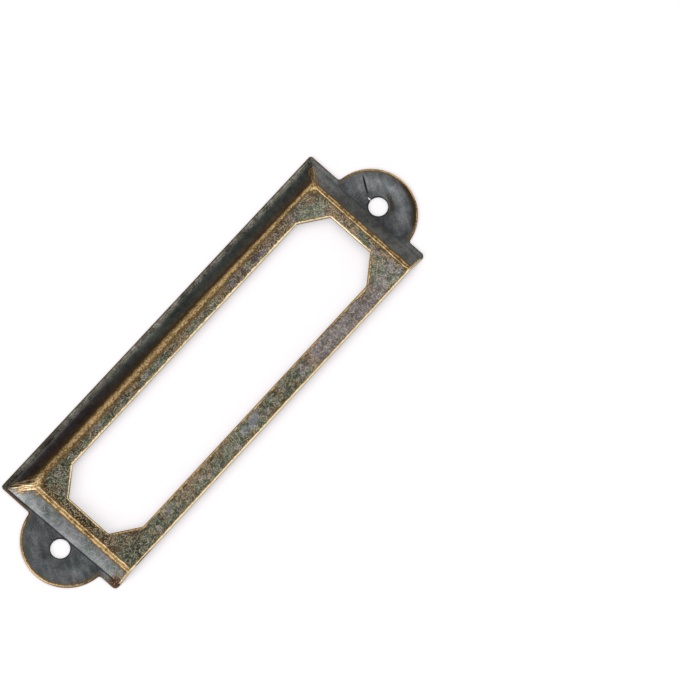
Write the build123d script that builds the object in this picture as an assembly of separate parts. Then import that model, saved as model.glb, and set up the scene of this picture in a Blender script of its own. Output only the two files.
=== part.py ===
from build123d import *
import os

# Drawer label holder: one piece of thin brass sheet, blanked and pressed in one go.
# Its face stands off the drawer on three formed sides, and the fourth side is left
# open so that a card slides in behind the window. A round ear at each end takes a screw.
#
# Frame: millimetres. The origin is midway between the two screw holes, on the back
# plane that lies on the drawer. +X runs along the length, +Y towards the open side
# and +Z out of the face.

# Sheet
SHEET = 0.5             # thickness of the brass
BEND_INSIDE = 0.2       # radius on the hollow side of every bend
EDGE_ROLL = 0.12        # radius that blanking leaves on the upper edges

# Window, a rectangle with its four corners cut off
WINDOW_LENGTH = 58.34
WINDOW_WIDTH = 14.16
WINDOW_CUT_LENGTH = 4.28    # what a corner takes off the long side
WINDOW_CUT_WIDTH = 3.06     # what a corner takes off the short side
WINDOW_ROUND = 0.45         # radius at the eight points of the window

# Rails of flat face round the window
END_RAIL = 1.83         # window to the upper fold at each end
CLOSED_RAIL = 2.12      # window to the upper fold of the closed side
OPEN_RAIL = 3.27        # window to the bare edge of the open side

# Formed sides, the same section on the two ends and the closed side
FACE_HEIGHT = 1.8       # back plane to the top of the face
EASE_RUN = 0.6          # narrow facet from the upper fold to the lower fold, seen from above
EASE_DROP = 0.12        # how much lower the lower fold is
SLOPE_RUN = 2.2         # lower fold to the foot of the slope, seen from above

# Flat flange at the foot of the slopes
END_FLANGE = 0.75
CLOSED_FLANGE = 0.92
CLOSED_CORNER = 0.45    # corner radius at the closed side
OPEN_CORNER = 0.65      # corner radius at the open side

# Ears and screw holes
EAR_RADIUS = 7.12
EAR_SETBACK = 0.67      # centre of the ear's arc, measured in from the end of the flange
EAR_JUNCTION = 0.5      # small hollow where the ear leaves the flange
HOLE_RADIUS = 1.5
HOLE_LAND = 0.2         # flat sheet between the foot of the slope and the hole

# How far a trimmed or cutting body runs past the sheet
OVERRUN = 1.0

# Places that follow from the sizes above
fold_x = WINDOW_LENGTH / 2 + END_RAIL
fold_y = -WINDOW_WIDTH / 2 - CLOSED_RAIL
foot_run = EASE_RUN + SLOPE_RUN
foot_x = fold_x + foot_run
end_x = foot_x + END_FLANGE
closed_y = fold_y - foot_run - CLOSED_FLANGE
open_y = WINDOW_WIDTH / 2 + OPEN_RAIL
ear_x = end_x - EAR_SETBACK
hole_x = foot_x + HOLE_LAND + HOLE_RADIUS
tip_x = ear_x + EAR_RADIUS


def round_corners(sketch, points, radius):
    """Round the corners of a sketch that lie nearest to the given points."""
    corners = [sketch.vertices().sort_by_distance(point)[0] for point in points]
    return fillet(corners, radius)


def side_section():
    """Section of a formed side: X runs outwards from the upper fold, Y is the height.

    The upper skin is offset by the thickness of the sheet. Every bend then gets its
    inside radius on the hollow skin, and that radius plus the sheet on the other skin,
    so the sheet is equally thick all the way round.
    """
    upper_skin = Polyline(
        (-END_RAIL / 2, FACE_HEIGHT),
        (0, FACE_HEIGHT),
        (EASE_RUN, FACE_HEIGHT - EASE_DROP),
        (foot_run, SHEET),
        (tip_x + OVERRUN - fold_x, SHEET),
    )
    lower_skin = offset(upper_skin, SHEET, kind=Kind.INTERSECTION, side=Side.RIGHT, closed=False)
    outline = offset(upper_skin, SHEET, kind=Kind.INTERSECTION, side=Side.RIGHT, closed=True)
    upper_fold, lower_fold, foot = upper_skin.vertices().sort_by(Axis.X)[1:4]
    under_upper_fold, under_lower_fold, under_foot = lower_skin.vertices().sort_by(Axis.X)[1:4]
    section = make_face(outline.edges())
    section = round_corners(section, (upper_fold, lower_fold, under_foot), BEND_INSIDE + SHEET)
    return round_corners(section, (under_upper_fold, under_lower_fold, foot), BEND_INSIDE)


def formed_sheet():
    """Face and three formed sides, with flanges wide enough for the whole blank."""
    back_y = open_y + OVERRUN
    upper_fold = Polyline((-fold_x, back_y), (-fold_x, fold_y), (fold_x, fold_y), (fold_x, back_y))
    section_plane = Plane(origin=(-fold_x, back_y, 0), x_dir=(-1, 0, 0), z_dir=(0, 1, 0))
    sides = sweep(section_plane * side_section(), path=upper_fold, transition=Transition.RIGHT)
    plate_edge = END_RAIL / 4
    plate = Rectangle(
        2 * (fold_x - plate_edge), back_y - fold_y - plate_edge, align=(Align.CENTER, Align.MAX)
    )
    return sides + extrude(Pos(0, back_y, FACE_HEIGHT - SHEET) * plate, SHEET)


def blank_outline():
    """Outline of the blank seen from above: body and ears, without the openings."""
    body = Pos(0, open_y) * Rectangle(
        2 * end_x, open_y - closed_y, align=(Align.CENTER, Align.MAX)
    )
    body = round_corners(body, [(side * end_x, closed_y) for side in (-1, 1)], CLOSED_CORNER)
    body = round_corners(body, [(side * end_x, open_y) for side in (-1, 1)], OPEN_CORNER)
    ears = [Pos(side * ear_x, 0) * Circle(EAR_RADIUS) for side in (-1, 1)]
    junction_y = (EAR_RADIUS**2 - EAR_SETBACK**2) ** 0.5
    junctions = [(side * end_x, edge * junction_y) for side in (-1, 1) for edge in (-1, 1)]
    return round_corners(body + ears, junctions, EAR_JUNCTION)


def window_outline():
    """Window: an octagon with two long sides, slightly rounded at its points."""
    half_length = WINDOW_LENGTH / 2
    half_width = WINDOW_WIDTH / 2
    cut_x = half_length - WINDOW_CUT_LENGTH
    cut_y = half_width - WINDOW_CUT_WIDTH
    upper_right = [(half_length, cut_y), (cut_x, half_width)]
    upper_half = upper_right + [(-x, y) for x, y in reversed(upper_right)]
    lower_half = [(-x, -y) for x, y in upper_half]
    window = make_face(Polyline(*upper_half, *lower_half, close=True))
    return fillet(window.vertices(), WINDOW_ROUND)


def screw_holes():
    """The two plain screw holes, close to the foot of the end slopes."""
    return [Pos(side * hole_x, 0) * Circle(HOLE_RADIUS) for side in (-1, 1)]


def upper_cut_edges(solid):
    """Edges where a punched wall meets the upper skin, all the way round."""
    walls = solid.faces().filter_by(lambda face: abs(face.normal_at().Z) < 0.01)
    skins = solid.faces().filter_by(lambda face: face.normal_at().Z > 0.01)
    skin_edges = skins.edges()
    return walls.edges().filter_by(lambda edge: edge in skin_edges)


def label_holder():
    """The whole holder: formed sheet, trimmed to the blank and punched."""
    punched = blank_outline() - window_outline() - screw_holes()
    cutter = extrude(Pos(0, 0, -OVERRUN) * punched, FACE_HEIGHT + 2 * OVERRUN)
    holder = (formed_sheet() & cutter).solid()
    return fillet(upper_cut_edges(holder), EDGE_ROLL)


os.makedirs("parts", exist_ok=True)
holder = label_holder()
holder.label = "label_holder"
export_step(holder, "parts/label_holder.step")
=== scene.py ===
import math

import bpy
from mathutils import Matrix, Vector
from mathutils.geometry import delaunay_2d_cdt
from mathutils.kdtree import KDTree


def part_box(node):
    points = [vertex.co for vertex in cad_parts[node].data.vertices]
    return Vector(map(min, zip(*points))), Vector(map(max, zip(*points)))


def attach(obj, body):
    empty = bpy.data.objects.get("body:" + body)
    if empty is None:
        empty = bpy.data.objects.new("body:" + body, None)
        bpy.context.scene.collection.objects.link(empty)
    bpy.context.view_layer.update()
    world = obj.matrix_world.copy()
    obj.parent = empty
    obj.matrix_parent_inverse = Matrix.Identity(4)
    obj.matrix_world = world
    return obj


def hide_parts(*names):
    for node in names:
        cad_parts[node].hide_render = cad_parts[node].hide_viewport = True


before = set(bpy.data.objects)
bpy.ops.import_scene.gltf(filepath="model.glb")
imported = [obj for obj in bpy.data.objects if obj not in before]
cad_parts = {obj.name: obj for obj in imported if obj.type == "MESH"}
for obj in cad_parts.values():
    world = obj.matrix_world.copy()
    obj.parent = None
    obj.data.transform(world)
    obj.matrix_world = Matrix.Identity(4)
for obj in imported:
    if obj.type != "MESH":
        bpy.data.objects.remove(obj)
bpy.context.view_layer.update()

# Drawer label holder in antiqued brass, pressed from one sheet.
# Lengths are in millimetres in the part's own frame, and MM turns them into metres.
MM = 0.001

# The CAD node gives the overall sizes
NODE = "label_holder"
low, high = (Vector(corner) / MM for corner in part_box(NODE))
tip_x = high.x
open_y = high.y
closed_y = low.y
face_height = high.z

# Section of the sheet
SHEET = 0.5
ROLL_DROP = 0.15        # the punch pulls the upper edges down by this much
ROLL_RUN = 0.28         # and rounds them over this width
END_EASE = 0.5          # from the upper fold to the lower fold at the ends, seen from above
CLOSED_EASE = 0.75      # the same on the closed side
EASE_DROP = 0.12
FOOT_RUN = 2.8          # from the upper fold to the foot
FOOT_LEAN = 0.027       # how far the foot at the +X end leans inwards for each mm of Y
FOOT_PIVOT = 3.0        # the Y at which that foot is where the CAD has it
CLOSED_FLANGE = 0.92
END_FLANGE = 0.75

# Half widths over which the bends are rounded, at the ends and on the closed side
UPPER_ROUND = (0.02, 0.05)
LOWER_ROUND = (0.06, 0.26)
FOOT_ROUND = (0.01, 0.3)
HIP_ROUND = 0.3         # the same across a mitre
MITRE_BLEND = 0.4       # how far each side of a mitre the two sections blend
DIP_DEPTH = 0.03        # the face's slow dips
DIP_SPACING = 7.0
SHARP_TURN = math.radians(50)   # edges that turn by more than this are shaded sharp
WELD = 0.0001           # points of the two skins that come nearer than this become one

# Blank
WINDOW_LENGTH = 58.34
WINDOW_WIDTH = 14.16
WINDOW_CUT_LENGTH = 4.28
WINDOW_CUT_WIDTH = 3.06
WINDOW_ROUND = 0.45
END_RAIL = 1.83
CLOSED_CORNER = 0.45
OPEN_CORNER = 0.65
EAR_RADIUS = 7.12
EAR_JUNCTION = 0.5
HOLE_RADIUS = 1.5
HOLE_LAND = 0.2

fold_x = WINDOW_LENGTH / 2 + END_RAIL
fold_y = closed_y + CLOSED_FLANGE + FOOT_RUN
end_x = fold_x + FOOT_RUN + END_FLANGE
ear_x = tip_x - EAR_RADIUS
hole_x = fold_x + FOOT_RUN + HOLE_LAND + HOLE_RADIUS


MATH = "ShaderNodeMath"
VECTORS = "ShaderNodeVectorMath"
RANGE = "ShaderNodeMapRange"
MIX = "ShaderNodeMix"
NOISE = "ShaderNodeTexNoise"
SPLIT = "ShaderNodeSeparateXYZ"
JOIN = "ShaderNodeCombineXYZ"
SMOOTH = {"interpolation_type": "SMOOTHSTEP"}


def add(tree, kind, inputs=(), out=None, **settings):
    """Adds a node with its settings and gives it back, or the output that is asked for.

    Inputs come in order, or by name or number, and each is a value or a socket to link.
    """
    node = tree.nodes.new(kind)
    for name, value in settings.items():
        setattr(node, name, value)
    for key, value in (inputs if isinstance(inputs, dict) else dict(enumerate(inputs))).items():
        if isinstance(value, bpy.types.NodeSocket):
            tree.links.new(value, node.inputs[key])
        else:
            node.inputs[key].default_value = value
    return node if out is None else node.outputs[out]


def linear(hex_colour):
    """An sRGB hex colour as linear RGBA."""
    parts = [int(hex_colour[i:i + 2], 16) / 255 for i in (1, 3, 5)]
    return (*[p / 12.92 if p <= 0.04045 else ((p + 0.055) / 1.055) ** 2.4 for p in parts], 1)


# The flat blank

POINT_STEP = 0.5        # spacing of points along straight edges and inside the sheet
ARC_STEP = 0.3          # longest step along an arc
ARC_TURN = math.radians(7)      # largest turn of a step, where the radius is small
SMALL_RADIUS = 2
LEAST_GAP = 0.15        # between a point inside the sheet and one on a line
MERGED = 0.012          # points that come nearer than this become one
OVERRUN = 1.0           # how far the lines along the bends run past the blank or the foot
MITRE_START = 0.5       # how far inside the upper folds the lines along a mitre start
# The rolled edge has a line of points at each of these turns
ROLL_TURNS = [math.radians(a) for a in (0, 22.5, 45, 67.5, 90)]
ROLL_MARGIN = 0.08      # from the rolled edge to the next line of points
FIRST_ROW = 0.7         # where the first row of points lies, in steps between rows


def arc(centre, radius, start, end):
    """Points on an arc, ends included, from one angle to another."""
    turn = abs(end - start)
    by_turn = turn / ARC_TURN if radius < SMALL_RADIUS else 0
    steps = max(2, math.ceil(max(by_turn, turn * radius / ARC_STEP)))
    return [
        Vector((centre[0] + radius * math.cos(a), centre[1] + radius * math.sin(a)))
        for a in (start + (end - start) * i / steps for i in range(steps + 1))
    ]


def with_steps(points, closed=True):
    """The same line with its long stretches divided."""
    line = []
    ends = points[1:] + points[:1] if closed else points[1:]
    for a, b in zip(points, ends):
        steps = max(1, round((b - a).length / POINT_STEP))
        line += [a.lerp(b, i / steps) for i in range(steps)]
    return line if closed else line + [points[-1]]


def rounded(corner, before, after, radius):
    """Arc that rounds a corner between two neighbouring points."""
    into = (corner - before).normalized()
    out = (after - corner).normalized()
    turn = into.angle_signed(out)
    back = radius * math.tan(abs(turn) / 2)
    side = -1 if turn > 0 else 1
    centre = corner - into * back + Vector((-into.y, into.x)) * radius * side
    start = math.atan2(*reversed((corner - into * back - centre).to_tuple()))
    return arc(centre, radius, start, start - turn)


def outer_outline():
    """Outline of the body and its two ears, anticlockwise from the closed side."""
    reach = EAR_RADIUS + EAR_JUNCTION
    joint_x = end_x + EAR_JUNCTION
    joint_y = math.sqrt(reach**2 - (joint_x - ear_x) ** 2)
    joint_turn = math.atan2(joint_y, joint_x - ear_x)
    closed_corner = Vector((end_x, closed_y))
    open_corner = Vector((end_x, open_y))
    right = [
        *rounded(closed_corner, Vector((0, closed_y)), open_corner, CLOSED_CORNER),
        *reversed(arc((joint_x, -joint_y), EAR_JUNCTION, math.pi - joint_turn, math.pi)),
        *arc((ear_x, 0), EAR_RADIUS, -joint_turn, joint_turn)[1:-1],
        *reversed(arc((joint_x, joint_y), EAR_JUNCTION, math.pi, math.pi + joint_turn)),
        *rounded(open_corner, closed_corner, Vector((0, open_y)), OPEN_CORNER),
    ]
    left = [Vector((-p.x, p.y)) for p in reversed(right)]
    return with_steps(right + left)


def window_outline():
    """The octagonal window, clockwise, so that the metal lies to the left here too."""
    half_length = WINDOW_LENGTH / 2
    half_width = WINDOW_WIDTH / 2
    cut_x = half_length - WINDOW_CUT_LENGTH
    cut_y = half_width - WINDOW_CUT_WIDTH
    quarter = [(half_length, cut_y), (cut_x, half_width)]
    upper = quarter + [(-x, y) for x, y in reversed(quarter)]
    points = [Vector(p) for p in upper + [(-x, -y) for x, y in upper]]
    points.reverse()
    line = []
    for i, corner in enumerate(points):
        line += rounded(corner, points[i - 1], points[(i + 1) % len(points)], WINDOW_ROUND)
    return with_steps(line)


def hole_outline(side):
    """One screw hole, clockwise."""
    return list(reversed(arc((side * hole_x, 0), HOLE_RADIUS, 0, math.tau)[:-1]))


def inset(line, distance):
    """The line moved into the metal, which lies to the left of its direction."""
    moved = []
    for i, point in enumerate(line):
        into = (point - line[i - 1]).normalized()
        out = (line[(i + 1) % len(line)] - point).normalized()
        normal = Vector((-into.y - out.y, into.x + out.x)).normalized()
        moved.append(point + normal * distance / max(0.5, normal.dot(Vector((-into.y, into.x)))))
    return moved


def inside(point, line):
    """True if the point lies inside a closed line."""
    crossed = False
    for a, b in zip(line, line[1:] + line[:1]):
        if (a.y > point.y) != (b.y > point.y):
            if point.x < a.x + (point.y - a.y) / (b.y - a.y) * (b.x - a.x):
                crossed = not crossed
    return crossed


def in_metal(point, edges):
    """True if the point lies inside the outline, the first edge, and in none of the openings."""
    return inside(point, edges[0]) and not any(inside(point, opening) for opening in edges[1:])


def fold_lines():
    """Lines of points along every bend, out to the flange, so that each bend is finely divided."""
    upper_bend = (-0.3, -0.2, -0.12, -0.06, 0, 0.06, 0.12, 0.2, 0.3)
    lower_bend = (0.4, 0.46, 0.5, 0.54, 0.6, 0.67, 0.75, 0.83, 0.93, 1.05, 1.2)
    foot_bend = (-0.4, -0.25, -0.12, -0.05, 0, 0.05, 0.12, 0.25, 0.4)
    mitre_bend = (-0.3, -0.2, -0.13, -0.06, 0, 0.06, 0.13, 0.2, 0.3)
    back = open_y + OVERRUN
    lines = []
    for rim in (*upper_bend, *lower_bend, *(FOOT_RUN + d for d in foot_bend)):
        x, y = fold_x + rim, fold_y - rim
        corners = [(-x, back), (-x, y), (x, y), (x, back)]
        lines.append(with_steps([Vector(c) for c in corners], closed=False))
    for side in (-1, 1):
        for across in mitre_bend:
            start = Vector((
                side * (fold_x - MITRE_START + across), fold_y + MITRE_START + across,
            ))
            end = start + Vector((side, -1)) * (FOOT_RUN + OVERRUN)
            lines.append(with_steps([start, end], closed=False))
    return lines


def flat_blank():
    """Flat mesh of the blank, with points along every edge and bend."""
    edges = [outer_outline(), window_outline(), hole_outline(1), hole_outline(-1)]
    points, constraints = [], []

    def put(line, closed):
        first = len(points)
        points.extend(line)
        count = len(line)
        constraints.extend((first + i, first + i + 1) for i in range(count - 1))
        if closed:
            constraints.append((first + count - 1, first))

    insets = [*(ROLL_RUN * (1 - math.cos(a)) for a in ROLL_TURNS), ROLL_RUN + ROLL_MARGIN]
    for distance in insets:
        for line in edges:
            put(inset(line, distance), True)
    for line in fold_lines():
        put(line, False)
    lines = KDTree(len(points))
    for number, point in enumerate(points):
        lines.insert(point.to_3d(), number)
    lines.balance()
    row_step = POINT_STEP * math.sqrt(0.75)
    columns = math.ceil(tip_x / POINT_STEP)
    for row in range(math.ceil((open_y - closed_y) / row_step)):
        for column in range(-columns, columns + 1):
            x = (column + 0.5 * (row % 2)) * POINT_STEP
            point = Vector((x, closed_y + (row + FIRST_ROW) * row_step))
            if in_metal(point, edges) and lines.find(point.to_3d())[2] > LEAST_GAP:
                points.append(point)

    verts, _, faces, sources, _, _ = delaunay_2d_cdt(points, constraints, [], 0, MERGED)
    # Where points became one, the place of the first counts, so that the outlines stay exact
    verts = [points[min(source)] if source else vert for vert, source in zip(verts, sources)]
    kept = []
    for face in faces:
        centre = sum((verts[i] for i in face), Vector((0, 0))) / len(face)
        if in_metal(centre, edges):
            kept.append(face)
    used = sorted({i for face in kept for i in face})
    number = {old: new for new, old in enumerate(used)}
    mesh = bpy.data.meshes.new("flat_blank")
    mesh.from_pydata(
        [(verts[i].x * MM, min(verts[i].y, open_y) * MM, 0) for i in used],
        [],
        [[number[i] for i in face] for face in kept],
    )
    mesh.update()
    return mesh


# The press

def press_tree():
    """Geometry Nodes tree that presses a flat blank to form and gives it its thickness."""
    tree = bpy.data.node_groups.new("press", "GeometryNodeTree")
    face = tree.interface
    face.new_socket(name="Blank", in_out="INPUT", socket_type="NodeSocketGeometry")
    sizes = {
        "Fold X": fold_x, "Fold Y": fold_y, "Face height": face_height, "End ease": END_EASE,
        "Closed ease": CLOSED_EASE, "Ease drop": EASE_DROP, "Foot run": FOOT_RUN, "Sheet": SHEET,
        "Roll run": ROLL_RUN, "Roll drop": ROLL_DROP, "Hip round": HIP_ROUND,
        "Unevenness": DIP_DEPTH, "Hole X": hole_x, "Hole radius": HOLE_RADIUS,
        "Foot pivot": FOOT_PIVOT,
    }
    for name, value in sizes.items():
        socket = face.new_socket(name=name, in_out="INPUT", socket_type="NodeSocketFloat")
        socket.default_value = value * MM
    lean_socket = face.new_socket(name="Foot lean", in_out="INPUT", socket_type="NodeSocketFloat")
    lean_socket.default_value = FOOT_LEAN
    face.new_socket(name="Material", in_out="INPUT", socket_type="NodeSocketMaterial")
    face.new_socket(name="Sheet", in_out="OUTPUT", socket_type="NodeSocketGeometry")
    size = tree.nodes.new("NodeGroupInput").outputs

    # Distance from the cut edge, measured on the flat blank
    neighbours = add(tree, "GeometryNodeInputMeshEdgeNeighbors", out=0)
    is_cut = add(tree, "FunctionNodeCompare", {
        2: neighbours, 3: 1,
    }, data_type="INT", operation="EQUAL")
    cut_edges = add(
        tree, "GeometryNodeSeparateGeometry",
        {"Geometry": size["Blank"], "Selection": is_cut.outputs[0]}, domain="EDGE",
    )
    near = add(tree, "GeometryNodeProximity", (cut_edges.outputs[0],), target_element="EDGES")

    # Distance outside the upper fold, with the mitre where the two sides meet
    position = add(tree, "GeometryNodeInputPosition", out=0)
    place = add(tree, SPLIT, (position,)).outputs
    across = add(tree, MATH, (
        add(tree, MATH, (place[0],), 0, operation="ABSOLUTE"),
        size["Fold X"],
    ), 0, operation="SUBTRACT")
    down = add(tree, MATH, (size["Fold Y"], place[1]), 0, operation="SUBTRACT")
    rim = add(tree, MATH, (across, down, size["Hip round"]), 0, operation="SMOOTH_MAX")
    closed_side = add(tree, MATH, (down, across), 0, operation="SUBTRACT")

    # Height of the upper skin: face, narrow facet, slope and flange, with rounded bends.
    # The closed side is struck less sharply than the ends.
    softness = add(tree, RANGE, (closed_side, -MITRE_BLEND * MM, MITRE_BLEND * MM), 0)
    upper_round, lower_round, foot_round = (
        add(tree, RANGE, {0: softness, 3: at_ends * MM, 4: on_closed_side * MM}, 0)
        for at_ends, on_closed_side in (UPPER_ROUND, LOWER_ROUND, FOOT_ROUND)
    )
    ease_run = add(tree, RANGE, {0: softness, 3: size["End ease"], 4: size["Closed ease"]}, 0)
    lean = add(tree, MATH, (place[0], 0.0), 0, operation="GREATER_THAN")
    for factor in (
        add(tree, MATH, (1.0, softness), 0, operation="SUBTRACT"),
        size["Foot lean"],
        add(tree, MATH, (size["Foot pivot"], place[1]), 0, operation="SUBTRACT"),
    ):
        lean = add(tree, MATH, (lean, factor), 0, operation="MULTIPLY")
    foot_run = add(tree, MATH, (size["Foot run"], lean), 0, operation="ADD")
    slope_run = add(tree, MATH, (foot_run, ease_run), 0, operation="SUBTRACT")
    ease_slope = add(tree, MATH, (size["Ease drop"], ease_run), 0, operation="DIVIDE")
    ease = add(tree, MATH, (
        size["Face height"],
        add(tree, MATH, (rim, ease_slope), 0, operation="MULTIPLY"),
    ), 0, operation="SUBTRACT")
    lower_fold = add(tree, MATH, (size["Face height"], size["Ease drop"]), 0, operation="SUBTRACT")
    side_slope = add(tree, MATH, (
        add(tree, MATH, (lower_fold, size["Sheet"]), 0, operation="SUBTRACT"),
        slope_run,
    ), 0, operation="DIVIDE")
    past_fold = add(tree, MATH, (rim, ease_run), 0, operation="SUBTRACT")
    slope = add(tree, MATH, (
        lower_fold,
        add(tree, MATH, (past_fold, side_slope), 0, operation="MULTIPLY"),
    ), 0, operation="SUBTRACT")
    face_and_ease = add(tree, MATH, (
        size["Face height"], ease, upper_round,
    ), 0, operation="SMOOTH_MIN")
    convex = add(tree, MATH, (face_and_ease, slope, lower_round), 0, operation="SMOOTH_MIN")
    pressed = add(tree, MATH, (convex, size["Sheet"], foot_round), 0, operation="SMOOTH_MAX")

    # The face is never quite flat: slow dips a few hundredths deep, none on the flange
    dip = add(tree, NOISE, {
        "Vector": position, "Scale": 1 / (DIP_SPACING * MM), "Detail": 1.0,
    }, 0)
    raised = add(tree, RANGE, (pressed, size["Sheet"], size["Face height"]), 0)
    for factor in (size["Unevenness"], raised):
        dip = add(tree, MATH, (dip, factor), 0, operation="MULTIPLY")
    height = add(tree, MATH, (pressed, dip), 0, operation="SUBTRACT")

    # What the finish needs to know about each point
    blank = size["Blank"]
    mitre = add(tree, MATH, (
        add(tree, MATH, (closed_side,), 0, operation="ABSOLUTE"),
        math.sqrt(0.5),
    ), 0, operation="MULTIPLY")
    from_hole = add(tree, MATH, (
        add(tree, MATH, (place[0],), 0, operation="ABSOLUTE"),
        size["Hole X"],
    ), 0, operation="SUBTRACT")
    from_hole = add(tree, JOIN, (from_hole, place[1]), 0)
    from_hole = add(tree, VECTORS, (from_hole,), "Value", operation="LENGTH")
    hole = add(tree, MATH, (from_hole, size["Hole radius"]), 0, operation="SUBTRACT")
    foot = add(tree, MATH, (rim, foot_run), 0, operation="SUBTRACT")
    known = {
        "edge": near.outputs["Distance"], "rim": rim, "foot": foot, "mitre": mitre,
        "closed": softness, "closed_side": closed_side, "hole": hole,
    }
    for name, value in known.items():
        blank = add(tree, "GeometryNodeStoreNamedAttribute", {
            "Geometry": blank, "Name": name, "Value": value,
        }, 0, data_type="FLOAT", domain="POINT")
    lift = add(tree, JOIN, {2: height}, 0)
    upper = add(tree, "GeometryNodeSetPosition", {"Geometry": blank, "Offset": lift}, 0)
    capture = add(tree, "GeometryNodeCaptureAttribute", (upper,), domain="POINT")
    capture.capture_items.new("VECTOR", "Normal")
    tree.links.new(add(tree, "GeometryNodeInputNormal", out=0), capture.inputs["Normal"])
    upper, normal = capture.outputs[0], capture.outputs["Normal"]

    # The lower skin is the upper one turned over and lowered, more where it is steep, so that
    # the sheet is equally thick
    turned = add(tree, "GeometryNodeFlipFaces", {"Mesh": upper}, 0)
    pushed = add(
        tree, "GeometryNodeExtrudeMesh",
        {"Mesh": turned, "Offset Scale": 0.0, "Individual": False}, mode="FACES",
    ).outputs
    steepness = add(tree, SPLIT, (normal,), 2)
    now = add(tree, SPLIT, (add(tree, "GeometryNodeInputPosition", out=0),)).outputs
    under = add(tree, MATH, (
        add(tree, MATH, (
            now[2],
            add(tree, MATH, (size["Sheet"], steepness), 0, operation="DIVIDE"),
        ), 0, operation="SUBTRACT"),
        0.0,
    ), 0, operation="MAXIMUM")
    under = add(tree, JOIN, (now[0], now[1], under), 0)
    lower = add(tree, "GeometryNodeSetPosition", {
        "Geometry": pushed["Mesh"], "Selection": pushed["Top"], "Position": under,
    }, 0)
    lower = add(tree, "GeometryNodeStoreNamedAttribute", {
        "Geometry": lower, "Name": "back", "Value": pushed["Top"],
    }, 0, data_type="FLOAT", domain="POINT")
    both = add(tree, "GeometryNodeJoinGeometry")
    for skin in (lower, upper):
        tree.links.new(skin, both.inputs[0])
    sheet = add(tree, "GeometryNodeMergeByDistance", {
        "Geometry": both.outputs[0], "Distance": WELD * MM,
    }, 0)

    # Roll the upper edge of every cut over
    edge = add(tree, "GeometryNodeInputNamedAttribute", {"Name": "edge"}, 0, data_type="FLOAT")
    back = add(tree, "GeometryNodeInputNamedAttribute", {"Name": "back"}, 0, data_type="FLOAT")
    outward = add(tree, MATH, (
        1.0,
        add(tree, MATH, (edge, size["Roll run"]), 0, operation="DIVIDE"),
    ), 0, operation="SUBTRACT")
    outward = add(tree, MATH, (outward, 0.0), 0, operation="MAXIMUM")
    outward = add(tree, MATH, (outward, 1.0), 0, operation="MINIMUM")
    level = add(tree, MATH, (outward, outward), 0, operation="MULTIPLY")
    level = add(tree, MATH, (1.0, level), 0, operation="SUBTRACT")
    level = add(tree, MATH, (level,), 0, operation="SQRT")
    drop = add(tree, MATH, (level, 1.0), 0, operation="SUBTRACT")
    for factor in (size["Roll drop"], add(tree, MATH, (1.0, back), 0, operation="SUBTRACT")):
        drop = add(tree, MATH, (drop, factor), 0, operation="MULTIPLY")
    roll = add(tree, JOIN, {2: drop}, 0)
    sheet = add(tree, "GeometryNodeSetPosition", {"Geometry": sheet, "Offset": roll}, 0)

    sheet = add(tree, "GeometryNodeSetShadeSmooth", {"Geometry": sheet, "Shade Smooth": True}, 0)
    sheet = add(tree, "GeometryNodeRealizeInstances", {"Geometry": sheet}, 0)
    sheet = add(tree, "GeometryNodeSetMaterial", {
        "Geometry": sheet, "Material": size["Material"],
    }, 0)
    add(tree, "NodeGroupOutput", (sheet,))
    return tree


def pressed_holder(material):
    """The holder as one plain mesh, made by pressing the flat blank."""
    blank = bpy.data.objects.new("pressed_holder_blank", flat_blank())
    bpy.context.scene.collection.objects.link(blank)
    press = blank.modifiers.new("press", "NODES")
    press.node_group = press_tree()
    for item in press.node_group.interface.items_tree:
        if item.in_out == "INPUT" and item.name == "Material":
            press[item.identifier] = material
    pressed = blank.evaluated_get(bpy.context.evaluated_depsgraph_get())
    mesh = bpy.data.meshes.new_from_object(pressed)
    mesh.name = "pressed_holder"
    bpy.data.objects.remove(blank)
    mesh.set_sharp_from_angle(angle=SHARP_TURN)
    holder = bpy.data.objects.new("pressed_holder", mesh)
    bpy.context.scene.collection.objects.link(holder)
    return holder


# Finishes

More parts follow.
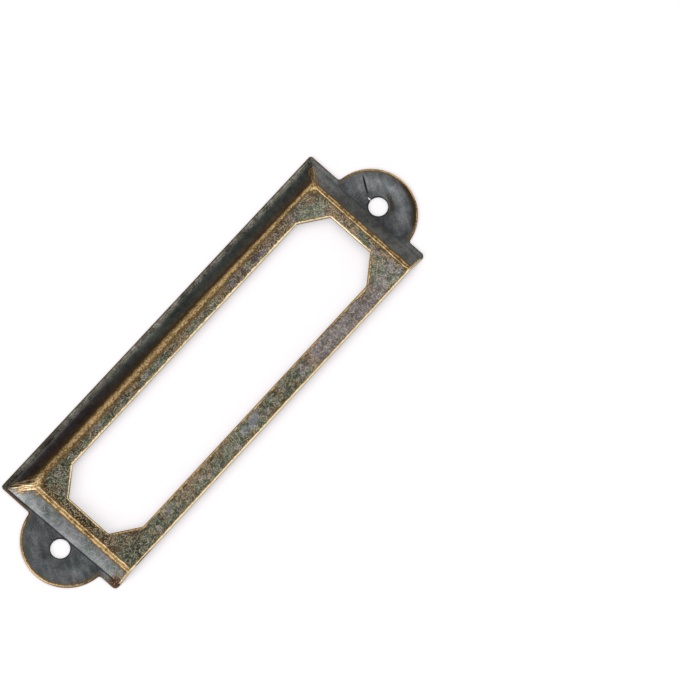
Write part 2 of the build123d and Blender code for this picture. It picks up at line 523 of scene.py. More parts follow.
def antiqued_brass():
    """Brass sheet, darkened in a bath and then tumbled.

    The bath leaves a dull skin of grey, olive and brown. Tumbling wears it thin over folds and
    mitres, where it turns brown and then gold, and off the cut edges, where pale brass shows.
    """
    material = bpy.data.materials.new("antiqued_brass")
    material.use_nodes = True
    tree = material.node_tree
    tree.nodes.clear()

    place = add(tree, "ShaderNodeTexCoord", out="Object")

    def spot(x, y, half_length, half_width, turn=0.0):
        """Soft mark on the holder, 1 in its middle and 0 at its border."""
        local = add(tree, "ShaderNodeMapping", {
            "Vector": place, "Location": (x * MM, y * MM, 0),
            "Rotation": (0, 0, math.radians(turn)),
            "Scale": (half_length * MM, half_width * MM, 1),
        }, 0, vector_type="TEXTURE")
        flat = add(tree, VECTORS, (local, (1, 1, 0)), 0, operation="MULTIPLY")
        return add(tree, MATH, (
            1.0,
            add(tree, VECTORS, (flat,), "Value", operation="LENGTH"),
        ), 0, operation="SUBTRACT")

    # Where a point lies: distances in millimetres from edges and folds, and which side it is on
    edge, rim, foot, mitre, hole, closed_side = (
        add(tree, MATH, (
            add(tree, "ShaderNodeAttribute", out="Fac", attribute_name=name),
            1 / MM,
        ), 0, operation="MULTIPLY")
        for name in ("edge", "rim", "foot", "mitre", "hole", "closed_side")
    )
    closed = add(tree, "ShaderNodeAttribute", out="Fac", attribute_name="closed")
    front = add(tree, MATH, (
        1.0,
        add(tree, "ShaderNodeAttribute", out="Fac", attribute_name="back"),
    ), 0, operation="SUBTRACT")
    along, across = add(tree, SPLIT, (place,)).outputs[:2]
    plus_end = add(tree, RANGE, (along, -1 * MM, 1 * MM), 0, **SMOOTH)
    ear = add(tree, RANGE, (
        add(tree, MATH, (across,), 0, operation="ABSOLUTE"),
        7.4 * MM, 6.2 * MM,
    ), 0, **SMOOTH)

    # Patterns of the finish: grain in millimetres, detail, shift and distortion. The marks of
    # the tumbling media are finer than a pixel, so the finest grain is drawn at 0.25 mm.
    curls, speck, broken, middle, hue, brown = (
        add(tree, NOISE, {
            "Vector": add(tree, VECTORS, (place, (shift, 0, 0)), 0, operation="ADD"),
            "Scale": 1 / (grain_mm * MM), "Detail": detail, "Distortion": distortion,
        }, "Fac")
        for grain_mm, detail, shift, distortion in (
            (0.9, 1.0, 0.0, 1.2), (0.25, 1.5, 3.1, 0.0), (0.7, 1.0, 11.4, 0.0),
            (1.1, 2.0, 1.3, 0.0), (1.9, 3.0, 5.7, 0.0), (2.8, 2.0, 8.2, 0.0),
        )
    )

    # Broad places: face and folds, past the foot, and the last stretch at +X
    raised = add(tree, RANGE, (rim, 0.9, 0.3), 0, **SMOOTH)
    past_foot = add(tree, RANGE, (foot, -0.1, 0.1), 0, **SMOOTH)
    at_plus_end = add(tree, RANGE, (along, 27.5 * MM, 31 * MM), 0, **SMOOTH)

    # Bath skin on the face: olive, mauve and brown clouds under a strong grain
    mauve_part = add(tree, RANGE, (along, -9.8 * MM, -10.6 * MM), 0, **SMOOTH)
    for factor in (
        add(tree, RANGE, (across, 5 * MM, 7 * MM, 0.4, 1.0), 0, **SMOOTH),
        add(tree, RANGE, (along, -28 * MM, -23 * MM, 0.2, 1.0), 0, **SMOOTH),
    ):
        mauve_part = add(tree, MATH, (mauve_part, factor), 0, operation="MULTIPLY")
    mauve = add(tree, RANGE, (
        add(tree, MATH, (
            hue,
            add(tree, MATH, (mauve_part, 0.36), 0, operation="MULTIPLY"),
        ), 0, operation="ADD"),
        0.52, 0.68,
    ), 0, **SMOOTH)
    face_skin = add(tree, MIX, {
        0: mauve, 6: linear("#50564A"), 7: linear("#696465"),
    }, 2, data_type="RGBA")
    browned = add(tree, MATH, (
        add(tree, RANGE, (along, 20 * MM, 27 * MM), 0, **SMOOTH),
        add(tree, RANGE, (across, -7 * MM, -4.5 * MM, -0.22, -0.02), 0, **SMOOTH),
    ), 0, operation="MULTIPLY")
    browned = add(tree, MATH, (
        browned,
        add(tree, RANGE, (spot(30.5, 9.0, 2.5, 3.0), 0.0, 0.6, 0.0, 0.16), 0, **SMOOTH),
    ), 0, operation="SUBTRACT")
    for part in (brown, add(tree, RANGE, (rim, -2.2, -0.2, 0.0, 0.16), 0, **SMOOTH)):
        browned = add(tree, MATH, (browned, part), 0, operation="ADD")
    face_skin = add(tree, MIX, {
        0: add(tree, RANGE, (browned, 0.47, 0.68, 0.0, 0.85), 0, **SMOOTH),
        6: face_skin, 7: linear("#665544"),
    }, 2, data_type="RGBA")
    # One bluish spot lies on the open rail
    blue = add(tree, MATH, (
        spot(1.7, 8.3, 2.3, 0.8, 22),
        spot(3.9, 8.4, 1.2, 0.6, 30),
    ), 0, operation="MAXIMUM")
    blue = add(tree, RANGE, (
        add(tree, MATH, (
            blue,
            add(tree, MATH, (middle, 0.5), 0, operation="MULTIPLY"),
        ), 0, operation="ADD"),
        0.3, 0.7, 0.0, 0.7,
    ), 0, **SMOOTH)
    face_skin = add(tree, MIX, {0: blue, 6: face_skin, 7: linear("#727A84")}, 2, data_type="RGBA")
    strokes = add(tree, MATH, (curls, 0.5), 0, operation="SUBTRACT")
    strokes = add(tree, MATH, (strokes,), 0, operation="ABSOLUTE")
    strokes = add(tree, RANGE, (strokes, 0.05, 0.0), 0, **SMOOTH)
    strokes = add(tree, MATH, (
        strokes,
        add(tree, RANGE, (broken, 0.47, 0.6), 0, **SMOOTH),
    ), 0, operation="MULTIPLY")
    grain = add(tree, MIX, {0: 0.35, 2: speck, 3: curls}, 0)

    # How light the face is: its grain first, then the places that are lighter or darker
    near_fold = add(tree, RANGE, (rim, -2.6, -0.8, 1.0, 0.76), 0, **SMOOTH)
    toward_plus_end = add(tree, RANGE, (along, 12 * MM, 30 * MM, 1.04, 0.76), 0, **SMOOTH)
    toward_minus_end = add(tree, RANGE, (
        along, -24 * MM, -29 * MM, 1.0,
        add(tree, RANGE, (across, 3 * MM, 7 * MM, 1.55, 1.4), 0, **SMOOTH),
    ), 0, **SMOOTH)
    depth = add(tree, RANGE, (speck, 0.44, 0.72, 0.87, 2.25), 0, **SMOOTH)
    for factor in (
        add(tree, MIX, {0: strokes, 2: 1.0, 3: 1.6}, 0),
        add(tree, RANGE, (middle, 0.34, 0.66, 0.6, 1.38), 0, **SMOOTH),
    ):
        depth = add(tree, MATH, (depth, factor), 0, operation="MULTIPLY")
    for mask, even in (
        (blue, 0.85), (add(tree, MATH, (mauve_part, 0.34), 0, operation="MULTIPLY"), 1.2),
    ):
        depth = add(tree, MIX, {0: mask, 2: depth, 3: even}, 0)
    dark_spots = add(tree, MATH, (
        spot(-5.0, 8.6, 5.0, 3.2),
        spot(27.6, 7.8, 3.0, 3.2),
    ), 0, operation="MAXIMUM")
    for factor in (
        near_fold, toward_plus_end, toward_minus_end,
        add(tree, RANGE, (along, -19 * MM, -8 * MM, 0.89, 1.0), 0, **SMOOTH),
        add(tree, RANGE, (dark_spots, 0.0, 0.6, 1.0, 0.76), 0, **SMOOTH),
        add(tree, MIX, {
            0: at_plus_end, 2: 1.0,
            3: add(tree, RANGE, (across, 5.5 * MM, 8.5 * MM, 0.7, 1.45), 0, **SMOOTH),
        }, 0),
    ):
        depth = add(tree, MATH, (depth, factor), 0, operation="MULTIPLY")

    # On slopes, flange and ears the skin is smoother and bluer, and it differs by place
    before_foot, not_closed, minus_end = (
        add(tree, MATH, (1.0, part), 0, operation="SUBTRACT")
        for part in (past_foot, closed, plus_end)
    )
    on_ear = add(tree, MATH, (ear, past_foot), 0, operation="MULTIPLY")
    plus_ear = add(tree, MATH, (on_ear, plus_end), 0, operation="MULTIPLY")
    end_slope = add(tree, MATH, (before_foot, not_closed), 0, operation="MULTIPLY")
    minus_slope = add(tree, MATH, (end_slope, minus_end), 0, operation="MULTIPLY")
    closed_flange = add(tree, MATH, (closed, past_foot), 0, operation="MULTIPLY")
    closed_slope = add(tree, MATH, (
        closed,
        add(tree, RANGE, (foot, 0.3, -0.6), 0, **SMOOTH),
    ), 0, operation="MULTIPLY")
    closed_slope_skin = add(tree, MIX, {
        0: add(tree, RANGE, (along, 0, 20 * MM), 0, **SMOOTH),
        6: linear("#454A43"), 7: linear("#463E3C"),
    }, 2, data_type="RGBA")
    warmed = add(tree, MATH, (
        closed_slope,
        add(tree, RANGE, (foot, -0.9, -1.9, 0.0, 0.8), 0, **SMOOTH),
    ), 0, operation="MULTIPLY")
    brown_corner = add(tree, MATH, (
        add(tree, RANGE, (spot(34.3, -10.2, 1.3, 4.0), 0.0, 0.6), 0, **SMOOTH),
        past_foot,
    ), 0, operation="MULTIPLY")
    side_skin = add(tree, MIX, {
        0: add(tree, RANGE, (brown, 0.35, 0.65), 0, **SMOOTH),
        6: linear("#5A5F5D"), 7: linear("#626263"),
    }, 2, data_type="RGBA")
    for mask, tint in (
        (closed_slope, closed_slope_skin),
        (closed_flange, linear("#5A584F")),
        (warmed, linear("#5F4735")),
        (add(tree, MATH, (on_ear, 0.6), 0, operation="MULTIPLY"), linear("#5D6062")),
        (brown_corner, linear("#4F4540")),
        (minus_slope, linear("#636361")),
    ):
        side_skin = add(tree, MIX, {0: mask, 6: side_skin, 7: tint}, 2, data_type="RGBA")

    # How light it is there. The ears are wiped in one direction and dull at their foot and rim,
    # and the open half of the -X end is dull. The foot of the +X slope is made lighter, a
    # painted highlight.
    wiped = add(tree, "ShaderNodeMapping", {
        "Vector": place,
        "Rotation": (0, 0, math.radians(62)),
        "Scale": (3.2 * MM, 0.7 * MM, 2 * MM),
    }, 0, vector_type="TEXTURE")
    wiped = add(tree, NOISE, {"Vector": wiped, "Scale": 1.0, "Detail": 1.0}, "Fac")
    flange_light = add(tree, RANGE, (edge, 0.55, 0.2, 0.92, 1.8), 0, **SMOOTH)
    for factor in (
        add(tree, RANGE, (along, 12 * MM, 26 * MM, 1.0, 0.68), 0, **SMOOTH),
        add(tree, RANGE, (spot(4.0, -12.4, 5.5, 3.0), 0.0, 0.6, 1.0, 1.3), 0, **SMOOTH),
    ):
        flange_light = add(tree, MATH, (flange_light, factor), 0, operation="MULTIPLY")
    far_half = minus_end
    for factor in (
        add(tree, RANGE, (across, 0.5 * MM, 3.5 * MM), 0, **SMOOTH),
        add(tree, RANGE, (foot, -0.4, 0.3), 0, **SMOOTH),
    ):
        far_half = add(tree, MATH, (far_half, factor), 0, operation="MULTIPLY")
    # Painted highlight: the +X slope is lighter towards its foot
    painted_foot_highlight = add(tree, RANGE, (foot, -1.5, -0.2, 0.0, 1.0), 0, **SMOOTH)
    for factor in (plus_end, before_foot):
        painted_foot_highlight = add(tree, MATH, (painted_foot_highlight, factor), 0, operation="MULTIPLY")
    ring = add(tree, MATH, (
        add(tree, RANGE, (edge, 2.6, 1.0, 0.0, 0.32), 0, **SMOOTH),
        on_ear,
    ), 0, operation="MULTIPLY")
    dulled = add(tree, MATH, (
        spot(37.5, -0.5, 2.6, 7.0),
        spot(-34.0, 0.0, 2.8, 8.5),
    ), 0, operation="MAXIMUM")
    side_depth = add(tree, RANGE, (
        add(tree, MIX, {0: 0.5, 2: middle, 3: brown}, 0),
        0.36, 0.64, 0.98, 1.66,
    ), 0, **SMOOTH)
    for mask, light in (
        (closed_flange, add(tree, RANGE, (
            add(tree, MIX, {0: 0.4, 2: hue, 3: speck}, 0),
            0.4, 0.6, 0.32, 1.32,
        ), 0, **SMOOTH)),
        (closed_flange, flange_light),
        (closed_slope, add(tree, RANGE, (along, -12 * MM, 20 * MM, 1.07, 0.48), 0, **SMOOTH)),
        (on_ear, add(tree, RANGE, (wiped, 0.36, 0.7, 0.87, 1.24), 0, **SMOOTH)),
        (on_ear, add(tree, RANGE, (foot, 0.8, 3.0, 0.73, 1.06), 0, **SMOOTH)),
        (end_slope, add(tree, MATH, (
            add(tree, RANGE, (across, -8.5 * MM, -5.0 * MM, 1.0, 0.66), 0, **SMOOTH),
            add(tree, RANGE, (across, 6 * MM, 8.5 * MM, 0.0, 0.12), 0, **SMOOTH),
        ), 0, operation="ADD")),
        (plus_ear, 0.82), (brown_corner, 0.72), (far_half, 0.68), (painted_foot_highlight, 1.7),
    ):
        factor = add(tree, MIX, {0: mask, 2: 1.0, 3: light}, 0)
        side_depth = add(tree, MATH, (side_depth, factor), 0, operation="MULTIPLY")
    for factor in (
        add(tree, RANGE, (speck, 0.35, 0.7, 0.88, 1.22), 0, **SMOOTH),
        add(tree, MATH, (1.0, ring), 0, operation="SUBTRACT"),
        add(tree, RANGE, (dulled, 0.0, 0.8, 1.0, 0.7), 0, **SMOOTH),
        # Painted sheen: a pale spot on the -X ear
        add(tree, RANGE, (spot(-38.0, -0.6, 2.4, 5.0), 0.0, 0.7, 1.0, 1.16), 0, **SMOOTH),
    ):
        side_depth = add(tree, MATH, (side_depth, factor), 0, operation="MULTIPLY")
    skin = add(tree, MIX, {0: raised, 6: side_skin, 7: face_skin}, 2, data_type="RGBA")
    depth = add(tree, MIX, {0: raised, 2: side_depth, 3: depth}, 0)
    skin = add(tree, MIX, {0: 1.0, 6: skin, 7: depth}, 2, data_type="RGBA", blend_type="MULTIPLY")

    # Flecks where the tumbling media struck through to the brass
    by_corner = add(tree, MATH, (
        spot(30.9, -9.2, 2.6, 2.2),
        add(tree, MATH, (
            at_plus_end,
            add(tree, RANGE, (across, 2 * MM, 6 * MM, 0.4, 0.0), 0, **SMOOTH),
        ), 0, operation="MULTIPLY"),
    ), 0, operation="MAXIMUM")
    flecks = add(tree, RANGE, (
        add(tree, MATH, (
            speck,
            add(tree, MATH, (by_corner, 0.12), 0, operation="MULTIPLY"),
        ), 0, operation="ADD"),
        0.6, 0.72, 0.0, 0.55,
    ), 0, **SMOOTH)
    flecks = add(tree, MATH, (flecks, raised), 0, operation="MULTIPLY")
    skin = add(tree, MIX, {0: flecks, 6: skin, 7: linear("#B79C66")}, 2, data_type="RGBA")

    # Short pale hairlines in several directions, mostly on the face
    hairlines = 0.0
    for number, turn in enumerate((15, 48, 80, 107, 139, 165)):
        turned = add(tree, "ShaderNodeMapping", {
            "Vector": place, "Location": (number * 0.1, 0, 0),
            "Rotation": (0, 0, math.radians(turn)),
            "Scale": (1.4 * MM, 0.11 * MM, 2 * MM),
        }, 0, vector_type="TEXTURE")
        streak = add(tree, NOISE, {"Vector": turned, "Scale": 1.0, "Detail": 0.0}, "Fac")
        line = add(tree, RANGE, (streak, 0.72, 0.79), 0, **SMOOTH)
        hairlines = add(tree, MATH, (hairlines, line), 0, operation="MAXIMUM")
    on_plus_slope = end_slope
    for factor in (plus_end, 0.3):
        on_plus_slope = add(tree, MATH, (on_plus_slope, factor), 0, operation="MULTIPLY")
    for factor in (
        add(tree, MIX, {
            0: raised,
            2: add(tree, MATH, (on_plus_slope, 0.1), 0, operation="ADD"),
            3: 0.72,
        }, 0),
        front,
    ):
        hairlines = add(tree, MATH, (hairlines, factor), 0, operation="MULTIPLY")
    line_colour = add(tree, MIX, {
        0: raised, 6: linear("#9FA3A3"), 7: linear("#BBB094"),
    }, 2, data_type="RGBA")
    skin = add(tree, MIX, {0: hairlines, 6: skin, 7: line_colour}, 2, data_type="RGBA")

    # Wear, from 0 where the skin is whole to 1 where the brass is bare. Its borders are frayed
    # by patterns that are centred on 0 here.
    loose, fine, waver = (
        add(tree, MATH, (
            add(tree, MATH, (pattern, 0.5), 0, operation="SUBTRACT"),
            reach,
        ), 0, operation="MULTIPLY")
        for pattern, reach in (
            (add(tree, MIX, {0: 0.5, 2: grain, 3: middle}, 0), 0.7),
            (speck, 0.2),
            (add(tree, MIX, {0: 0.3, 2: middle, 3: hue}, 0), 0.4),
        )
    )
    dull_side = add(tree, MATH, (
        add(tree, RANGE, (across, 1 * MM, 5 * MM), 0, **SMOOTH),
        add(tree, RANGE, (across, 9.2 * MM, 8.6 * MM), 0, **SMOOTH),
    ), 0, operation="MULTIPLY")
    fray = add(tree, MATH, (
        loose,
        add(tree, MIX, {
            0: dull_side,
            2: add(tree, RANGE, (across, -7 * MM, -5 * MM, 1.2, 0.4), 0, **SMOOTH),
            3: 1.7,
        }, 0),
    ), 0, operation="MULTIPLY")
    frayed_edge = edge
    for part in (fine, fray):
        frayed_edge = add(tree, MATH, (frayed_edge, part), 0, operation="ADD")
    edge_wear = add(tree, RANGE, (frayed_edge, 0.48, 0.12), 0, **SMOOTH)
    for factor in (
        add(tree, RANGE, (hole, 0.3, 0.8), 0, **SMOOTH),
        add(tree, MIX, {
            0: past_foot, 2: 1.0, 3: add(tree, MIX, {0: ear, 2: 0.24, 3: 0.8}, 0),
        }, 0),
        add(tree, MIX, {0: dull_side, 2: 1.0, 3: 0.78}, 0),
    ):
        edge_wear = add(tree, MATH, (edge_wear, factor), 0, operation="MULTIPLY")
    haze = on_ear
    for factor in (
        add(tree, RANGE, (edge, 1.0, 0.3), 0, **SMOOTH),
        add(tree, RANGE, (hole, 1.0, 2.0, 0.0, 0.2), 0, **SMOOTH),
    ):
        haze = add(tree, MATH, (haze, factor), 0, operation="MULTIPLY")
    edge_wear = add(tree, MATH, (edge_wear, haze), 0, operation="MAXIMUM")
    frayed_rim = rim
    for part in (waver, add(tree, MATH, (fine, 0.5), 0, operation="MULTIPLY")):
        frayed_rim = add(tree, MATH, (frayed_rim, part), 0, operation="ADD")

    # At the ends both folds wear as thin lines, with a duller band between them. Each has its
    # place, the distances from it where wear starts and is full, and its wear at -X and at +X.
    bands = []
    for line, middle_at, far, near, at_minus_x, at_plus_x in (
        (frayed_rim, 0.0, 0.19, 0.02, 0.84, 0.86),
        (frayed_rim, END_EASE - 0.05, 0.17, 0.02, 0.66, 0.74),
        (rim, END_EASE / 2, 0.8, 0.2, 0.44, 0.54),
    ):
        away = add(tree, MATH, (
            add(tree, MATH, (line, middle_at), 0, operation="SUBTRACT"),
        ), 0, operation="ABSOLUTE")
        bands.append(add(tree, MATH, (
            add(tree, RANGE, (away, far, near), 0, **SMOOTH),
            add(tree, MIX, {0: plus_end, 2: at_minus_x, 3: at_plus_x}, 0),
        ), 0, operation="MULTIPLY"))
    end_folds = bands[0]
    for band in bands[1:]:
        end_folds = add(tree, MATH, (end_folds, band), 0, operation="MAXIMUM")
    end_folds = add(tree, MATH, (
        end_folds,
        add(tree, RANGE, (
            add(tree, MIX, {0: 0.4, 2: broken, 3: speck}, 0),
            0.38, 0.6, 0.66, 1.12,
        ), 0, **SMOOTH),
    ), 0, operation="MULTIPLY")

    # On the closed side they merge into one broad line
    broad_fold = add(tree, MATH, (rim, loose), 0, operation="ADD")
    broad_fold = add(tree, MATH, (broad_fold, CLOSED_EASE * 0.45), 0, operation="SUBTRACT")
    broad_fold = add(tree, MATH, (broad_fold,), 0, operation="ABSOLUTE")
    fold_width = add(tree, RANGE, (along, -29 * MM, -6 * MM, 0.7, 1.3), 0, **SMOOTH)
    broad_fold = add(tree, RANGE, (
        add(tree, MATH, (broad_fold, fold_width), 0, operation="DIVIDE"),
        1.0, 0.0,
    ), 0, **SMOOTH)
    for factor in (
        add(tree, RANGE, (grain, 0.36, 0.62, 0.6, 1.0), 0, **SMOOTH),
        add(tree, RANGE, (along, 17 * MM, 27 * MM, 0.75, 0.64), 0, **SMOOTH),
    ):
        broad_fold = add(tree, MATH, (broad_fold, factor), 0, operation="MULTIPLY")
    folds = add(tree, MIX, {0: closed, 2: end_folds, 3: broad_fold}, 0)

    # The smear along a mitre is widest at the folds and is streaked lengthways
    drawn = add(tree, JOIN, (
        add(tree, MATH, (closed_side, 0.16), 0, operation="DIVIDE"),
        add(tree, MATH, (rim, 1.6), 0, operation="DIVIDE"),
        plus_end,
    ), 0)
    drawn = add(tree, NOISE, {"Vector": drawn, "Scale": 1.0, "Detail": 1.0}, "Fac")
    mitre_width = add(tree, MATH, (
        add(tree, RANGE, (foot, -2.9, -0.1, 1.55, 0.75), 0, **SMOOTH),
        add(tree, MIX, {0: plus_end, 2: 0.9, 3: 1.2}, 0),
    ), 0, operation="MULTIPLY")
    mitre_wear = mitre
    for part in (
        add(tree, MATH, (loose, 2.4), 0, operation="MULTIPLY"),
        add(tree, MATH, (
            add(tree, MATH, (drawn, 0.5), 0, operation="SUBTRACT"),
            2.5,
        ), 0, operation="MULTIPLY"),
    ):
        mitre_wear = add(tree, MATH, (mitre_wear, part), 0, operation="ADD")
    mitre_wear = add(tree, RANGE, (
        add(tree, MATH, (mitre_wear, mitre_width), 0, operation="DIVIDE"),
        1.15, 0.1,
    ), 0, **SMOOTH)
    for factor in (
        add(tree, RANGE, (rim, -0.5, 0.0), 0, **SMOOTH),
        add(tree, RANGE, (foot, 0.0, -0.5), 0, **SMOOTH),
        add(tree, MIX, {0: plus_end, 2: 0.56, 3: 0.96}, 0),
        add(tree, RANGE, (drawn, 0.4, 0.6, 1.1, 0.4), 0, **SMOOTH),
        add(tree, RANGE, (speck, 0.36, 0.6, 0.7, 1.1), 0, **SMOOTH),
    ):
        mitre_wear = add(tree, MATH, (mitre_wear, factor), 0, operation="MULTIPLY")
    folds = add(tree, MATH, (folds, mitre_wear), 0, operation="MAXIMUM")

    # Worn patches on the face by the closed corners
    corners = [
        add(tree, RANGE, (
            add(tree, MATH, (patch, loose), 0, operation="SUBTRACT"),
            0.0, 1.0, 0.0, 0.85,
        ), 0, **SMOOTH)
        for patch in (spot(30.7, -9.1, 2.2, 1.7), spot(-30.7, -8.9, 1.8, 1.4))
    ]
    corner = add(tree, MATH, corners, 0, operation="MAXIMUM")
    folds = add(tree, MATH, (
        folds,
        add(tree, MATH, (
            corner,
            add(tree, RANGE, (grain, 0.38, 0.6, 0.3, 1.0), 0, **SMOOTH),
        ), 0, operation="MULTIPLY"),
    ), 0, operation="MAXIMUM")
    wear = add(tree, MATH, (
        add(tree, MATH, (edge_wear, folds), 0, operation="MAXIMUM"),
        front,
    ), 0, operation="MULTIPLY")

    # Worn skin turns brown, then gold, then pale
    colour = skin
    for start, end, tint in (
        (0.0, 0.4, "#5C482C"), (0.3, 0.8, "#CFAE7A"), (0.78, 1.0, "#F2DFBA"),
    ):
        worn = add(tree, RANGE, (wear, start, end), 0, **SMOOTH)
        colour = add(tree, MIX, {0: worn, 6: colour, 7: linear(tint)}, 2, data_type="RGBA")

    # Painted shade: the cut walls and the steepest part of each rolled edge, where the normal
    # points little upwards, are coloured dark, and so is the window's lip at the +X end
    facing = add(tree, SPLIT, (add(tree, "ShaderNodeNewGeometry", out="True Normal"),), 2)
    painted_wall_shade = add(tree, RANGE, (facing, 0.55, 0.25), 0, **SMOOTH)
    painted_lip_shade = add(tree, RANGE, (edge, 0.16, 0.08), 0, **SMOOTH)
    for factor in (
        add(tree, RANGE, (along, 25 * MM, 28 * MM), 0, **SMOOTH),
        add(tree, RANGE, (rim, -0.8, -1.2), 0, **SMOOTH),
    ):
        painted_lip_shade = add(tree, MATH, (painted_lip_shade, factor), 0, operation="MULTIPLY")

    # Dark skin gathered in the crease at the foot of the end slopes and round the holes
    crease = add(tree, RANGE, (
        add(tree, MATH, (foot,), 0, operation="ABSOLUTE"),
        0.16, 0.05,
    ), 0, **SMOOTH)
    for factor in (not_closed, add(tree, MIX, {0: plus_end, 2: 0.3, 3: 0.85}, 0)):
        crease = add(tree, MATH, (crease, factor), 0, operation="MULTIPLY")
    crease = add(tree, MATH, (
        crease,
        add(tree, RANGE, (hole, 0.25, 0.05, 0.0, 0.8), 0, **SMOOTH),
    ), 0, operation="MAXIMUM")

    # Marks on this one: a scratch, a nick and a dark rim on the -X ear, and a brown stain with
    # struck flecks on the open corner at +X
    scratch = add(tree, RANGE, (spot(-36.7, -3.75, 1.9, 0.2, 56), 0.0, 0.4), 0, **SMOOTH)
    nick = add(tree, RANGE, (spot(-35.45, -1.75, 0.4, 0.1, 85), 0.0, 0.5), 0, **SMOOTH)
    stained = spot(33.7, 9.9, 1.5, 2.0)
    stain = add(tree, RANGE, (
        add(tree, MATH, (
            stained,
            add(tree, MATH, (loose, 4.0), 0, operation="MULTIPLY"),
        ), 0, operation="ADD"),
        0.1, 0.6, 0.0, 0.85,
    ), 0, **SMOOTH)
    stain = add(tree, MATH, (
        stain,
        add(tree, MATH, (1.0, wear), 0, operation="SUBTRACT"),
    ), 0, operation="MULTIPLY")
    struck = add(tree, MATH, (
        add(tree, RANGE, (stained, -0.3, 0.3), 0, **SMOOTH),
        add(tree, RANGE, (speck, 0.56, 0.66, 0.0, 0.6), 0, **SMOOTH),
    ), 0, operation="MULTIPLY")
    rim_shade = add(tree, RANGE, (edge, 1.3, 0.55), 0, **SMOOTH)
    for factor in (
        add(tree, RANGE, (spot(-39.0, 3.5, 4.5, 5.5), 0.0, 0.5, 0.0, 0.92), 0, **SMOOTH),
        past_foot,
        add(tree, RANGE, (edge, 0.18, 0.36), 0, **SMOOTH),
    ):
        rim_shade = add(tree, MATH, (rim_shade, factor), 0, operation="MULTIPLY")
    for mask, tint in (
        (painted_wall_shade, "#544A30"), (painted_lip_shade, "#544A30"), (crease, "#26282A"), (scratch, "#1E2224"),
        (nick, "#F5F1E6"), (stain, "#43291C"), (struck, "#B98F55"), (rim_shade, "#33291C"),
    ):
        colour = add(tree, MIX, {0: mask, 6: colour, 7: linear(tint)}, 2, data_type="RGBA")

    bump = add(tree, "ShaderNodeBump", {
        "Strength": 0.16, "Distance": 0.02 * MM, "Height": grain,
    }, 0)
    shader = add(tree, "ShaderNodeBsdfPrincipled", {
        "Base Color": colour, "Metallic": 1.0,
        "Roughness": add(tree, RANGE, (wear, 0.0, 1.0, 0.42, 0.3), 0, **SMOOTH),
        "Normal": bump,
    })
    add(tree, "ShaderNodeOutputMaterial", {"Surface": shader.outputs[0]})
    return material


def white_card():
    """Plain white card, matt. The camera sees it a little brighter than the part does, so that
    it is white and keeps a faint shadow."""
    material = bpy.data.materials.new("white_card")
    material.use_nodes = True
    tree = material.node_tree
    tree.nodes.clear()
    card = add(tree, "ShaderNodeBsdfDiffuse", {"Color": linear("#E6E5E8")}, 0)
    shaded = add(tree, "ShaderNodeBsdfDiffuse", {"Color": linear("#F1ECEF")}, 0)
    glow = add(tree, "ShaderNodeEmission", {"Color": linear("#FFFFFF"), "Strength": 0.33}, 0)
    seen = add(tree, "ShaderNodeAddShader", (shaded, glow), 0)
    path = add(tree, "ShaderNodeLightPath").outputs
    looks = path["Is Camera Ray"]
    for ray in ("Is Glossy Ray", "Is Transmission Ray"):
        looks = add(tree, MATH, (looks, path[ray]), 0, operation="MAXIMUM")
    surface = add(tree, "ShaderNodeMixShader", (looks, card, seen), 0)
    add(tree, "ShaderNodeOutputMaterial", {"Surface": surface})
    return material


# Stage

FLOOR_GAP = 0.02        # under the part's back plane, so that the two never share a plane


def floor():
    """A wide white card just under the part's back."""
    half = 1000 * MM
    mesh = bpy.data.meshes.new("floor")
    corners = [(-half, -half), (half, -half), (half, half), (-half, half)]
    mesh.from_pydata([(x, y, -FLOOR_GAP * MM) for x, y in corners], [], [(0, 1, 2, 3)])
    mesh.materials.append(white_card())
    obj = bpy.data.objects.new("floor", mesh)
    bpy.context.scene.collection.objects.link(obj)


# The camera, from a fit to the photograph's straight edges. The photograph's axes are
# X to the right, Y up and Z towards the camera, and the part lies turned on that table.
FOCAL_PIXELS = 5890.3
FRAME_PIXELS = 680
SENSOR_MM = 36
CAMERA_DISTANCE = 886.78
CAMERA_TILT = -0.22102
CAMERA_LEAN = 0.01384
PART_TURN = math.radians(227.96)
PART_PLACE = Vector((-17.987, -5.744, 0))

table_to_camera = Matrix.Rotation(CAMERA_TILT, 3, "X") @ Matrix.Rotation(CAMERA_LEAN, 3, "Y")
part_to_table = Matrix.Rotation(PART_TURN, 3, "Z")


def table_point(x, y, z):
    """A point given in the photograph's table axes, in the part's frame, in metres."""
    return part_to_table.transposed() @ (Vector((x, y, z)) - PART_PLACE) * MM


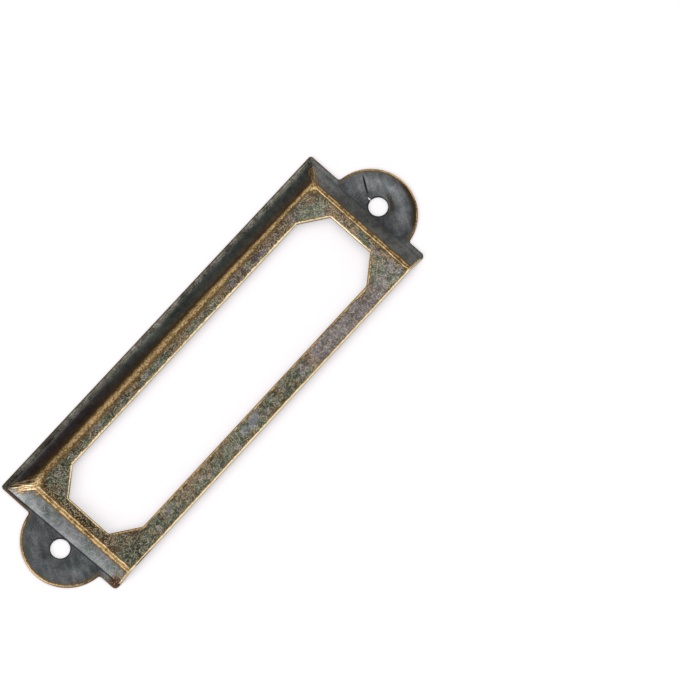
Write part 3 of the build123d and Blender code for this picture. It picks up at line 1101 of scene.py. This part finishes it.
def camera():
    """The photograph's camera."""
    data = bpy.data.cameras.new("camera")
    data.sensor_width = SENSOR_MM
    data.lens = FOCAL_PIXELS * SENSOR_MM / FRAME_PIXELS
    data.clip_start = 0.05
    data.clip_end = 10
    obj = bpy.data.objects.new("camera", data)
    turn = (table_to_camera @ part_to_table).transposed()
    place = table_point(*(table_to_camera.transposed() @ Vector((0, 0, CAMERA_DISTANCE))))
    obj.matrix_world = Matrix.Translation(place) @ turn.to_4x4()
    bpy.context.scene.collection.objects.link(obj)
    bpy.context.scene.camera = obj


def soft_box(name, towards, width, depth, brightness, distance=1.1):
    """A large rectangular lamp. Its direction is given in the part's frame, its sizes in metres,
    and a mirror facing it would show a white of the given brightness."""
    data = bpy.data.lights.new(name, "AREA")
    data.shape = "RECTANGLE"
    data.size = width
    data.size_y = depth
    data.energy = brightness * math.pi * width * depth
    towards = Vector(towards).normalized()
    obj = bpy.data.objects.new(name, data)
    turn = towards.to_track_quat("Z", "Y").to_matrix().to_4x4()
    obj.matrix_world = Matrix.Translation(towards * distance) @ turn
    obj.visible_camera = False
    bpy.context.scene.collection.objects.link(obj)


def lights():
    """Soft light from above and from both ends and the open side. The closed side stays dark."""
    soft_box("overhead", (-0.16, 0.1, 0.98), 1.5, 1.3, 1.0)
    soft_box("plus_end", (0.75, -0.15, 0.6), 0.8, 0.9, 1.9)
    soft_box("minus_end", (-0.92, -0.14, 0.38), 0.4, 0.9, 0.7)
    soft_box("open_side", (-0.16, 0.95, 0.25), 1.2, 0.4, 1.2)
    world = bpy.data.worlds.new("studio")
    bpy.context.scene.world = world
    world.use_nodes = True
    tree = world.node_tree
    tree.nodes.clear()
    room = add(tree, "ShaderNodeBackground", {"Color": linear("#FFFFFF"), "Strength": 0.27}, 0)
    add(tree, "ShaderNodeOutputWorld", {"Surface": room})


holder = pressed_holder(antiqued_brass())
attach(holder, "root")
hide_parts(NODE)

floor()
camera()
lights()
bpy.context.scene.view_settings.view_transform = "Standard"
